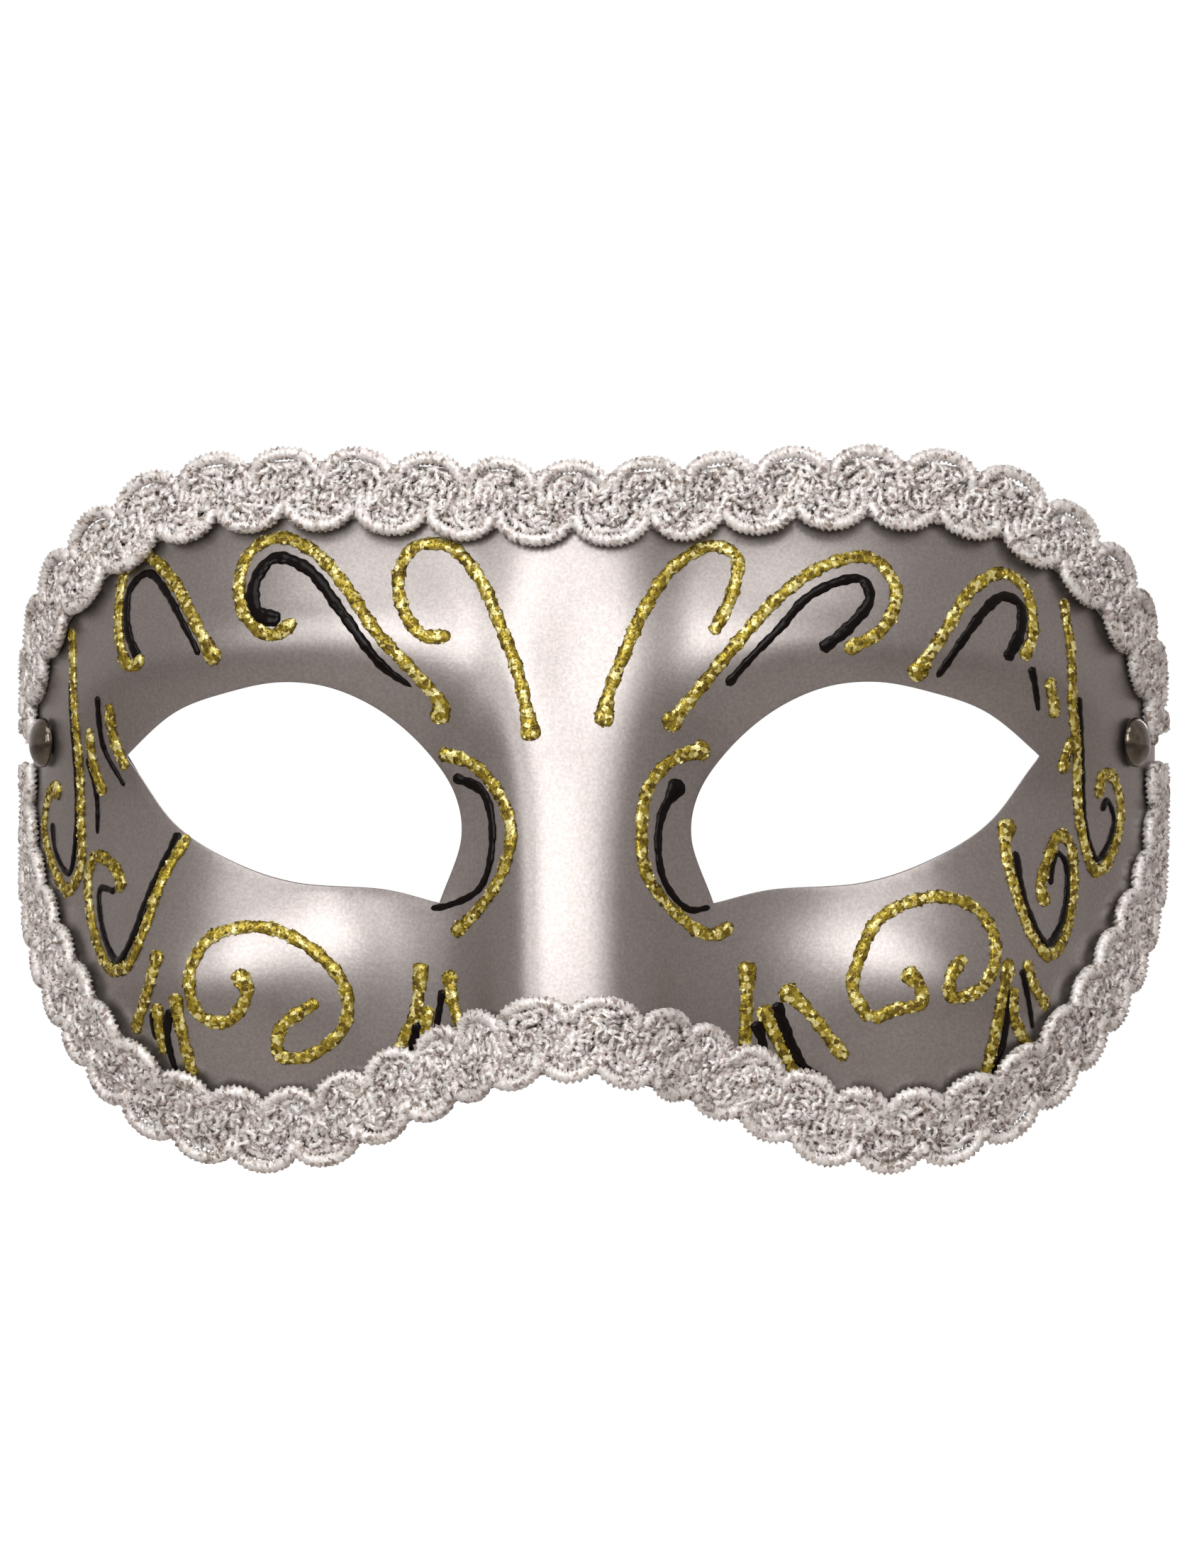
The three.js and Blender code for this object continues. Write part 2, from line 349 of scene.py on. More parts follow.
def tube_faces(first, sides, n):
    """Faces of a closed tube whose points run along one side after another, n to a side."""
    faces = []
    for i in range(n - 1):
        for k in range(sides):
            here = first + k * n + i
            beside = first + (k + 1) % sides * n + i
            faces.append((here, beside, beside + 1, here + 1))
    start = [first + k * n for k in range(sides)]
    faces.append(tuple(start[::-1]))
    faces.append(tuple(i + n - 1 for i in start))
    return faces


BEAD_SIDES = 10
BEAD_STEP = 0.3
BEAD_SINK = 0.25  # how deep a line's underside bulges
BEAD_LIFT = 0.05  # how far its widest part stands off the paint
SWELL_LENGTH = 2.2  # how far from its end a line's swelling reaches
BLUNTEST = 0.05  # share of its width that a line keeps at its very tip


def bead_mesh(strokes, taper):
    """Raised hand-laid lines on the front face: their points and faces.

    A stroke is (route, half width, height, swelling at its start, swelling at its end). A line is
    wider by a share of taper at its start and narrower by it at its end.
    """
    points, faces = [], []
    used = 0
    for route, half_width, height, swell_start, swell_end in strokes:
        flat = catmull(route, BEAD_STEP)
        n = len(flat)
        run = np.arange(n) * BEAD_STEP
        length = run[-1]
        width = np.full(n, half_width)
        width *= 1 + 0.10 * np.sin(run * 1.7 + length) + 0.07 * np.sin(run * 4.1 + 2 * length)
        width *= np.linspace(1 + taper, 1 - taper, n)
        width += swell_start * bell(run / SWELL_LENGTH) + swell_end * bell((length - run) / SWELL_LENGTH)
        for gone, swell in ((run, swell_start), (length - run, swell_end)):
            share = np.clip(gone / (half_width + swell), 0, 1)
            width *= np.maximum(np.sqrt(1 - (1 - share) ** 2), BLUNTEST)
        tall = height * (width / half_width) ** 0.6
        centre = to_space(flat[:, 0], flat[:, 1], 0)
        normal = face_normal(flat[:, 0], flat[:, 1])
        across = unit(np.cross(unit(np.gradient(centre, axis=0)), normal))
        for k in range(BEAD_SIDES):
            a = math.tau * k / BEAD_SIDES
            rise = math.sin(a)
            lift = BEAD_LIFT + (tall * rise if rise > 0 else np.full(n, BEAD_SINK * rise))
            reach = width * math.cos(a)
            points.append(centre + across * (reach * MM)[:, None] + normal * (lift * MM)[:, None])
        faces += tube_faces(used, BEAD_SIDES, n)
        used += BEAD_SIDES * n
    return np.concatenate(points), faces


# ---- shader helpers ----
class Nodes:
    """A short way to build a node tree: new() adds a node, sets its inputs and links them."""

    def __init__(self, tree):
        self.tree = tree

    def new(self, kind, inputs=None, **settings):
        node = self.tree.nodes.new(kind)
        for key, value in settings.items():
            setattr(node, key, value)
        for key, value in (inputs or {}).items():
            self.put(node.inputs[key], value)
        return node

    def put(self, socket, value):
        if isinstance(value, bpy.types.NodeSocket):
            self.tree.links.new(value, socket)
        else:
            socket.default_value = value

    def math(self, operation, first, second):
        return self.new("ShaderNodeMath", {0: first, 1: second}, operation=operation).outputs[0]

    def colours(self, value, stops):
        """A colour for each value, blended between stops of (value, colour)."""
        node = self.new("ShaderNodeValToRGB", {"Fac": value})
        band = node.color_ramp
        while len(band.elements) < len(stops):
            band.elements.new(0.5)
        for element, (at, colour) in zip(band.elements, stops):
            element.position = at
            element.color = (*colour, 1)
        return node.outputs["Color"]

    def greys(self, value, stops):
        """As colours(), for stops of (value, brightness)."""
        return self.colours(value, [(at, (grey, grey, grey)) for at, grey in stops])

    def bump(self, height, strength, distance):
        node = self.new("ShaderNodeBump", {"Strength": strength, "Distance": distance, "Height": height})
        return node.outputs["Normal"]


def blank_material(name):
    """An empty material with its nodes and its Principled shader, for a finish to fill in."""
    mat = bpy.data.materials.new(name)
    mat.use_nodes = True
    mat.node_tree.nodes.clear()
    build = Nodes(mat.node_tree)
    shader = build.new("ShaderNodeBsdfPrincipled")
    out = build.new("ShaderNodeOutputMaterial")
    build.put(out.inputs["Surface"], shader.outputs["BSDF"])
    return mat, build, shader


def finish_material(name, make_inputs):
    """A material whose Principled inputs are the ones that make_inputs(build) works out."""
    mat, build, shader = blank_material(name)
    for socket, value in make_inputs(build).items():
        build.put(shader.inputs[socket], value)
    return mat


def grain_group():
    """Fine noise and flat cells, both at a named size in metres."""
    group = bpy.data.node_groups.new("fine_grain", "ShaderNodeTree")
    for name, default in (("Size", 0.001), ("Detail", 4)):
        socket = group.interface.new_socket(name, in_out="INPUT", socket_type="NodeSocketFloat")
        socket.default_value = default
    group.interface.new_socket("Value", in_out="OUTPUT", socket_type="NodeSocketFloat")
    group.interface.new_socket("Cell", in_out="OUTPUT", socket_type="NodeSocketColor")
    build = Nodes(group)
    entry = build.new("NodeGroupInput")
    leave = build.new("NodeGroupOutput")
    where = build.new("ShaderNodeTexCoord").outputs["Object"]
    scale = build.math("DIVIDE", 1.0, entry.outputs["Size"])
    noise = build.new("ShaderNodeTexNoise", {
        "Vector": where, "Scale": scale, "Detail": entry.outputs["Detail"], "Roughness": 0.6,
    })
    cell = build.new("ShaderNodeTexVoronoi", {"Vector": where, "Scale": scale})
    build.put(leave.inputs["Value"], noise.outputs["Fac"])
    build.put(leave.inputs["Cell"], cell.outputs["Color"])
    return group


GRAIN = grain_group()


def add_grain(build, size, detail):
    """The grain's outputs, Value and Cell, at a size in metres."""
    node = build.new("ShaderNodeGroup", node_tree=GRAIN)
    build.put(node.inputs["Size"], size)
    build.put(node.inputs["Detail"], detail)
    return node.outputs


def silver_paint(build):
    broad = add_grain(build, 0.022, 3)
    flake = add_grain(build, 0.00045, 2)
    tint = build.colours(broad["Value"], [(0.3, (0.325, 0.300, 0.290)), (0.7, (0.37, 0.342, 0.332))])
    speck = build.greys(flake["Value"], [(0.35, 0.88), (0.7, 1.1)])
    mixed = build.new("ShaderNodeMix", {0: 1.0, 6: tint, 7: speck}, data_type="RGBA", blend_type="MULTIPLY")
    return {
        "Base Color": mixed.outputs[2], "Metallic": 0.9,
        "Roughness": build.greys(broad["Value"], [(0.3, 0.30), (0.75, 0.38)]),
        "Normal": build.bump(flake["Value"], 0.12, 0.0001),
    }


def black_felt(build):
    fuzz = add_grain(build, 0.0012, 6)["Value"]
    return {
        "Base Color": build.colours(fuzz, [(0.3, (0.006, 0.005, 0.007)), (0.75, (0.035, 0.032, 0.036))]),
        "Roughness": 0.95, "Sheen Weight": 0.4, "Sheen Roughness": 0.6,
        "Normal": build.bump(fuzz, 0.8, 0.0004),
    }


def silver_thread(build):
    fibre = add_grain(build, 0.00045, 3)
    foil = add_grain(build, 0.00060, 2)
    # The foil cells take random tones over the thread's own silver: the white cells are painted glints and
    # the dark brown cells are painted shade between the strands.
    painted_glint_and_shade_tone = build.colours(foil["Cell"], [
        (0.16, (0.36, 0.30, 0.265)), (0.34, (0.84, 0.775, 0.735)), (0.52, (1.0, 0.965, 0.945)),
        (0.78, (1.0, 0.99, 0.97)),
    ])
    return {
        "Base Color": painted_glint_and_shade_tone, "Metallic": 0.25, "Roughness": 0.38,
        "Normal": build.bump(fibre["Value"], 0.7, 0.0002),
    }


def woven_ground(build):
    weave = add_grain(build, 0.0006, 3)["Value"]
    return {
        "Base Color": build.colours(weave, [(0.3, (0.24, 0.21, 0.19)), (0.7, (0.7, 0.65, 0.61))]),
        "Metallic": 0.3, "Roughness": 0.6,
        "Normal": build.bump(weave, 1.0, 0.0003),
    }


def gold_glitter(build):
    flake = add_grain(build, 0.00062, 2)
    # The flake cells take random tones over the glitter's own gold: the pale cells are painted glints and
    # the darkest cells are painted shade.
    painted_glint_and_shade_tone = build.colours(flake["Cell"], [
        (0.20, (0.15, 0.10, 0.009)), (0.42, (0.33, 0.245, 0.020)), (0.62, (0.49, 0.385, 0.048)),
        (0.80, (0.95, 0.88, 0.40)),
    ])
    return {
        "Base Color": painted_glint_and_shade_tone, "Metallic": 0.55, "Roughness": 0.32,
        "Normal": build.bump(flake["Value"], 0.6, 0.0002),
    }


def black_enamel(build):
    wave = add_grain(build, 0.003, 2)["Value"]
    return {
        "Base Color": build.colours(wave, [(0.3, (0.002, 0.001, 0.001)), (0.7, (0.006, 0.003, 0.0025))]),
        "Roughness": 0.16, "Specular IOR Level": 0.14,
        "Normal": build.bump(wave, 0.2, 0.0004),
    }


def dark_nickel(build):
    wear = add_grain(build, 0.0016, 5)["Value"]
    return {
        "Base Color": build.colours(wear, [(0.35, (0.05, 0.037, 0.024)), (0.7, (0.17, 0.135, 0.095))]),
        "Metallic": 1.0, "Roughness": build.greys(wear, [(0.3, 0.10), (0.8, 0.20)]),
        "Coat Weight": 1.0, "Coat Roughness": 0.06,
    }


# ---- geometry node trees ----
def geometry_tree(name, sockets):
    """A tree that takes and gives geometry, with named inputs of (name, kind)."""
    tree = bpy.data.node_groups.new(name, "GeometryNodeTree")
    tree.interface.new_socket("Geometry", in_out="INPUT", socket_type="NodeSocketGeometry")
    tree.interface.new_socket("Geometry", in_out="OUTPUT", socket_type="NodeSocketGeometry")
    for label, kind in sockets:
        tree.interface.new_socket(label, in_out="INPUT", socket_type=kind)
    return tree, Nodes(tree)


def finish_tree(build, geometry, entry):
    """Ends a tree with its instances made real and its material given."""
    real = build.new("GeometryNodeRealizeInstances", {"Geometry": geometry})
    coated = build.new("GeometryNodeSetMaterial", {
        "Geometry": real.outputs[0], "Material": entry.outputs["Material"],
    })
    leave = build.new("NodeGroupOutput")
    build.put(leave.inputs[0], coated.outputs[0])


CORD_LOBES = 3
CORD_VALLEY = 0.62  # share of a cord's radius at the valley between two of its lobes
FUZZ_SCALE = 1500.0  # waves of the cords' roughness to a metre


def cord_tree():
    """Sweeps a lobed strand along each line of a mesh, twists it and roughens it."""
    tree, build = geometry_tree("twisted_cord", [
        ("Radius", "NodeSocketFloat"), ("Twist", "NodeSocketFloat"), ("Fuzz", "NodeSocketFloat"),
        ("Material", "NodeSocketMaterial"),
    ])
    entry = build.new("NodeGroupInput")
    line = build.new("GeometryNodeMeshToCurve", {"Mesh": entry.outputs["Geometry"]})
    run = build.new("GeometryNodeSplineParameter")
    turns = build.math("DIVIDE", run.outputs["Length"], entry.outputs["Twist"])
    angle = build.math("MULTIPLY", turns, math.tau)
    tilted = build.new("GeometryNodeSetCurveTilt", {"Curve": line.outputs[0], "Tilt": angle})
    lobes = build.new("GeometryNodeCurveStar", {
        "Points": CORD_LOBES, "Inner Radius": build.math("MULTIPLY", entry.outputs["Radius"], CORD_VALLEY),
        "Outer Radius": entry.outputs["Radius"],
    })
    girth = build.new("GeometryNodeInputNamedAttribute", {"Name": "girth"}, data_type="FLOAT").outputs[0]
    sized = build.new("GeometryNodeSetCurveRadius", {"Curve": tilted.outputs[0], "Radius": girth})
    swept = build.new("GeometryNodeCurveToMesh", {
        "Curve": sized.outputs[0], "Profile Curve": lobes.outputs[0], "Fill Caps": True, "Scale": girth,
    })
    where = build.new("GeometryNodeInputPosition")
    shift = build.new("ShaderNodeVectorMath", {0: where.outputs[0], 1: (3.1, 1.7, 5.3)}, operation="ADD")
    noise = build.new("ShaderNodeTexNoise", {"Vector": shift.outputs[0], "Scale": FUZZ_SCALE, "Detail": 2.0})
    centred = build.new("ShaderNodeVectorMath", {
        0: noise.outputs["Color"], 1: (0.5, 0.5, 0.5),
    }, operation="SUBTRACT")
    amount = build.new("ShaderNodeVectorMath", {
        0: centred.outputs[0], "Scale": entry.outputs["Fuzz"],
    }, operation="SCALE")
    moved = build.new("GeometryNodeSetPosition", {"Geometry": swept.outputs[0], "Offset": amount.outputs[0]})
    smooth = build.new("GeometryNodeSetShadeSmooth", {"Geometry": moved.outputs[0], "Shade Smooth": True})
    finish_tree(build, smooth.outputs[0], entry)
    return tree


DENSEST_FLAKES = 8.0e6  # to a square metre, before Spacing thins them out


def flake_tree():
    """Keeps the mesh and lays small tilted hexagonal flakes all over it."""
    tree, build = geometry_tree("glitter_flakes", [
        ("Spacing", "NodeSocketFloat"), ("Flake Radius", "NodeSocketFloat"), ("Tilt", "NodeSocketFloat"),
        ("Seed", "NodeSocketInt"), ("Material", "NodeSocketMaterial"),
    ])
    entry = build.new("NodeGroupInput")
    scatter = build.new("GeometryNodeDistributePointsOnFaces", {
        "Mesh": entry.outputs["Geometry"], "Distance Min": entry.outputs["Spacing"],
        "Density Max": DENSEST_FLAKES, "Seed": entry.outputs["Seed"],
    }, distribute_method="POISSON")
    flake = build.new("GeometryNodeMeshCircle", {
        "Vertices": 6, "Radius": entry.outputs["Flake Radius"],
    }, fill_type="NGON")
    tilt = entry.outputs["Tilt"]
    tilt_back = build.math("MULTIPLY", tilt, -1.0)
    low = build.new("ShaderNodeCombineXYZ", {0: tilt_back, 1: tilt_back, 2: 0.0})
    high = build.new("ShaderNodeCombineXYZ", {0: tilt, 1: tilt, 2: math.tau})
    chance = build.new("FunctionNodeRandomValue", {
        0: low.outputs[0], 1: high.outputs[0], "Seed": entry.outputs["Seed"],
    }, data_type="FLOAT_VECTOR")
    turned = build.new("FunctionNodeRotateEuler", {
        "Rotation": scatter.outputs["Rotation"], "Rotate By": chance.outputs[0],
    }, rotation_type="EULER", space="LOCAL")
    placed = build.new("GeometryNodeInstanceOnPoints", {
        "Points": scatter.outputs["Points"], "Instance": flake.outputs[0], "Rotation": turned.outputs[0],
    })
    joined = build.new("GeometryNodeJoinGeometry")
    build.put(joined.inputs[0], entry.outputs["Geometry"])
    build.put(joined.inputs[0], placed.outputs[0])
    finish_tree(build, joined.outputs[0], entry)
    return tree


def apply_tree(obj, tree, values):
    """Runs a tree on an object and keeps its result as the object's plain mesh."""
    modifier = obj.modifiers.new(tree.name, "NODES")
    modifier.node_group = tree
    sockets = {s.name: s.identifier for s in tree.interface.items_tree if s.in_out == "INPUT"}
    for name, value in values.items():
        modifier[sockets[name]] = value
    graph = bpy.context.evaluated_depsgraph_get()
    made = bpy.data.meshes.new_from_object(obj.evaluated_get(graph), depsgraph=graph)
    made.name = obj.name
    obj.modifiers.remove(modifier)
    old = obj.data
    obj.data = made
    bpy.data.meshes.remove(old)


CORD_TREE = cord_tree()
FLAKE_TREE = flake_tree()

# ---- finishes ----
PAINT = finish_material("silver_mauve_paint", silver_paint)
FELT = finish_material("black_felt", black_felt)
THREAD = finish_material("silver_thread", silver_thread)
GROUND = finish_material("woven_ground", woven_ground)
GLITTER = finish_material("gold_glitter", gold_glitter)
ENAMEL = finish_material("black_enamel", black_enamel)
NICKEL = finish_material("dark_nickel", dark_nickel)


def place(obj, mat, slot, *nodes):
    """Gives a piece its finish, puts it on the body and hides the CAD nodes that it stands for."""
    obj.data.materials.clear()
    obj.data.materials.append(mat)
    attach(obj, BODY)
    if nodes:
        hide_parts(*nodes)


# ---- shell and lining ----
EDGE_STEP = 0.9
EDGE_ROLL = 0.22  # radius of the shell's rounded edges
SHELL_SPACING = 1.3
LINING_ROLL = 0.25
LINING_SPACING = 1.8
LINING_CORNER_INSET = 1.6  # how much further the lining stops from an eye hole's outer corner
BRAID_OVERHANG = 1.0  # how far the braid stands out past the shell's edge
EYE_SPLAY = 0.25  # how far an eye hole's wall runs back into the shell near the nose
CORNER_SPLAY = 1.5  # and how much further at its outer corner
RIM = rim_outline(EDGE_STEP)
EYES = [eye_outline(-1, EDGE_STEP), eye_outline(1, EDGE_STEP)]
RIVET_HOLES = [circle_outline(side * RIVET_U, RIVET_Z, RIVET_HOLE_R) for side in (-1, 1)]


def moved_in(outline, distance):
    """An outline moved into the material it bounds on its left when anticlockwise."""
    turn = 1 if signed_area(outline) > 0 else -1
    return outline + closed_left(outline) * distance * turn


def hole_splay(u):
    """The eye holes are cut square to the front, so their walls splay more at the outer corners.

    The rivet holes, further round, have straight walls.
    """
    a = np.abs(u)
    return (EYE_SPLAY + CORNER_SPLAY * ramp(40, 66, a)) * (1 - ramp(70, 76, a))


def build_shell():
    open_half = BRAID_OPEN / 2
    covered = ramp(open_half, open_half + 1.5, np.abs(RIM[:, 1] - BRAID_OPEN_Z))
    rim = moved_in(RIM, (BRAID_OVERHANG * covered)[:, None])
    outlines = [rim, *EYES, *RIVET_HOLES]
    shell = layer_mesh("shell_skin", outlines, 0, -SHELL_T, SHELL_SPACING, EDGE_ROLL, hole_splay)
    place(shell, PAINT, "shell_paint", "shell")


def build_lining():
    edge = moved_in(RIM, LINING_INSET)
    eyes = []
    for eye in EYES:
        # The shell's wall splays at the outer corner, so the lining's edge is further away there.
        away = LINING_INSET + LINING_CORNER_INSET * ramp(45, 66, np.abs(eye[:, 0]))
        eyes.append(eye + unit(eye - eye.mean(axis=0)) * away[:, None])
    front = -(SHELL_T + GLUE_GAP)
    outlines = [edge, *eyes, *RIVET_HOLES]
    lining = layer_mesh("lining_felt", outlines, front, front - LINING_T, LINING_SPACING, LINING_ROLL)
    place(lining, FELT, "lining_felt", "lining")


# ---- braid ----
UPPER_PITCH = 10.5  # wanted length of one repeat of the loops
LOWER_PITCH = 8.5
LEAST_FULL_PITCH = 10  # a shorter repeat draws the cords of its bundle together
END_MARGIN = 0.4  # the braid's pieces stop this far inside its two ends
SHORTEST_PIECE = 6  # a cut cord of no more points than this is left out
CORD_R = 0.66
CORD_BULGE = 1.15  # radius over a cord's lobes, as a share of CORD_R
CORD_TWIST = 2.4
CORD_FUZZ = 0.42
CORD_OFFSETS = (-2.0, -0.67, 0.67, 2.0)  # the cords of a bundle, across its width
CORD_STEP = 0.28
CORD_LIFT = 0.5  # bare height under the cords
# The outermost cord of an arch stands proud: this much higher and further out, at the braid's outer
# and inner edges, and this much thicker.
PROUD_HEIGHT = (0.8, 0.5)
PROUD_SPREAD = (0.25, 0.1)
PROUD_GIRTH = 0.42
ARCH_FLATNESS = 0.68
ARCH_POINTS = 17
LANE_STEP = 0.5
TEMPLE_PRESS = 0.35  # the braid lies flatter on the temples by this share
GROUND_HALF = 3.6
GROUND_SECTION = [(0, 0.08), (1, 0.15), (0.9, 0.4), (0, 0.5), (-0.9, 0.4), (-1, 0.15)]
FILLER_LANES = (-2.7, -0.9, 0.9, 2.7)
FILLER_HEIGHT = 1.62
FILLER_GIRTH = 0.68


def braid_lane():
    """The smoothed rim, anticlockwise, with the direction into the mask at each of its points."""
    rim = resample(np.concatenate([RIM, RIM[:1]]), LANE_STEP)[:-1]
    for _ in range(3):
        rim = (np.roll(rim, 1, 0) + 2 * rim + np.roll(rim, -1, 0)) / 4
    return rim, closed_left(rim)


def serpentine(offset, pitch, top):
    """One repeat of a cord in a looping bundle, as points of (along, across, radius of its arch).

    top is how far from the middle the crown of the widest arch stands.
    """
    closeness = min(1, pitch / LEAST_FULL_PITCH)
    offset = offset * closeness
    widest = pitch / 4 + max(CORD_OFFSETS) * closeness
    points = []
    angles = np.linspace(0, math.pi, ARCH_POINTS)
    for way, radius in ((1, pitch / 4 - offset), (-1, pitch / 4 + offset)):
        crown = ARCH_FLATNESS * radius
        leg = top - (widest - radius) - crown
        middle = pitch / 4 if way > 0 else 3 * pitch / 4
        for a in angles:
            points.append((middle - radius * math.cos(a), way * (leg + crown * math.sin(a)), radius))
    return np.array(points)


def lane_frame():
    """The braid's lane, closed: its rim points, the direction in and the distance run along its middle."""
    lane, inward = braid_lane()
    lane = np.concatenate([lane, lane[:1]])
    inward = np.concatenate([inward, inward[:1]])
    middle = lane + inward * (BRAID_W / 2)
    steps = np.linalg.norm(np.diff(to_space(middle[:, 0], middle[:, 1], 0), axis=0), axis=1) / MM
    run = np.concatenate([[0], np.cumsum(steps)])
    return lane, inward, run


def kept_stretches(flags):
    """Start and end of each stretch of true flags."""
    stretches = []
    start = None
    for i, good in enumerate(list(flags) + [False]):
        if good and start is None:
            start = i
        if not good and start is not None:
            if i - start > SHORTEST_PIECE:
                stretches.append((start, i))
            start = None
    return stretches


def braid_cords(keep, wanted_pitch):
    """Cord centre lines, as (points, girth along them), where keep(z) holds along the lane."""
    lane, inward, run = lane_frame()
    total = run[-1]
    loops = round(total / wanted_pitch)
    pitch = total / loops
    half = BRAID_W / 2
    lines = []

    def lay(along, across, height, girth):
        """Adds a cord by its distances along and across the braid and its height off the shell."""
        at = np.mod(along, total)
        base = np.stack([np.interp(at, run, lane[:, i]) for i in (0, 1)], -1)
        into = np.stack([np.interp(at, run, inward[:, i]) for i in (0, 1)], -1)
        flat = base + into * (half - across)[:, None]
        height = height * (1 - TEMPLE_PRESS * ramp(84, 98, np.abs(base[:, 0])))
        spots = on_face(flat[:, 0], flat[:, 1], height)
        for i, j in kept_stretches(keep(base[:, 1])):
            lines.append((spots[i:j], girth[i:j]))

    for offset in CORD_OFFSETS:
        repeat = serpentine(offset, pitch, half - CORD_R)
        places = np.concatenate([repeat + (i * pitch, 0, 0) for i in range(loops)])
        places = np.concatenate([places, places[:1] + (total, 0, 0)])
        path = resample(places, CORD_STEP)
        along, across, arch = path.T
        outward = across > 0
        proud = ramp(pitch / 4 + 1.2, pitch / 4 + 1.7, arch) * ramp(1.0, 3.0, np.abs(across))
        stray = 0.22 * np.sin(along * 1.9 + offset * 5) + 0.16 * np.sin(along * 4.3 + offset * 11)
        ripple = 0.22 * (1 - proud) * np.sin(along * 2.3 + across * 1.4 + offset * 3)
        height = CORD_LIFT + CORD_R + np.where(outward, *PROUD_HEIGHT) * proud + ripple
        spread = np.where(outward, *PROUD_SPREAD) * proud * np.sign(across)
        lay(along, across + spread + stray * (1 - proud), height, 1 + PROUD_GIRTH * proud)
    for number, lane_across in enumerate(FILLER_LANES):
        # Thin kinked threads fill what the looping bundle leaves open.
        along = np.arange(0, total, CORD_STEP * 0.8)
        phase = along * 2.5 + number * 2 + 1.3 * np.sin(along * 0.71 + number)
        sway = 0.9 * np.sin(phase) + 0.6 * np.sin(along * 1.13 + number * 3)
        back = 0.5 * np.cos(phase * 2 + number)
        height = FILLER_HEIGHT + 0.42 * np.sin(phase * 0.5 + number)
        lay(along + back, lane_across + sway, height, np.full(len(along), FILLER_GIRTH))
    return lines


def ground_mesh(name, keep):
    """The flat woven band that carries the loops, under the middle of the braid."""
    lane, inward, _ = lane_frame()
    points, faces = [], []
    used = 0
    for start, end in kept_stretches(keep(lane[:, 1])):
        side = inward[start:end:2]
        middle = lane[start:end:2] + side * (BRAID_W / 2)
        n = len(middle)
        for across, height in GROUND_SECTION:
            flat = middle + side * across * GROUND_HALF
            points.append(on_face(flat[:, 0], flat[:, 1], np.full(n, height)))
        faces += tube_faces(used, len(GROUND_SECTION), n)
        used += len(GROUND_SECTION) * n
    return mesh_object(name, np.concatenate(points), faces)


def cord_lines(name, lines):
    """An object of bare edges along the cords, which keeps their girth at each point."""
    points = np.concatenate([line for line, _ in lines])
    edges = []
    first = 0
    for line, _ in lines:
        edges += [(first + i, first + i + 1) for i in range(len(line) - 1)]
        first += len(line)
    mesh = bpy.data.meshes.new(name)
    mesh.from_pydata([tuple(p) for p in points], edges, [])
    girth = mesh.attributes.new("girth", "FLOAT", "POINT")
    girth.data.foreach_set("value", np.concatenate([g for _, g in lines]))
    return add_object(name, mesh)


def above_rivets(z):
    return z > BRAID_OPEN_Z + BRAID_OPEN / 2 + END_MARGIN


def below_rivets(z):
    return z < BRAID_OPEN_Z - BRAID_OPEN / 2 - END_MARGIN


def build_braid(word, keep, pitch):
    """One length of the braid, where keep(z) holds: its cords and the band that carries them."""
    loops = cord_lines(f"braid_loops_{word}", braid_cords(keep, pitch))
    apply_tree(loops, CORD_TREE, {
        "Radius": CORD_R * CORD_BULGE * MM, "Twist": CORD_TWIST * MM, "Fuzz": CORD_FUZZ * MM,
        "Material": THREAD,
    })
    place(loops, THREAD, "braid_thread", f"braid_{word}")
    place(ground_mesh(f"braid_ground_{word}", keep), GROUND, "braid_thread")


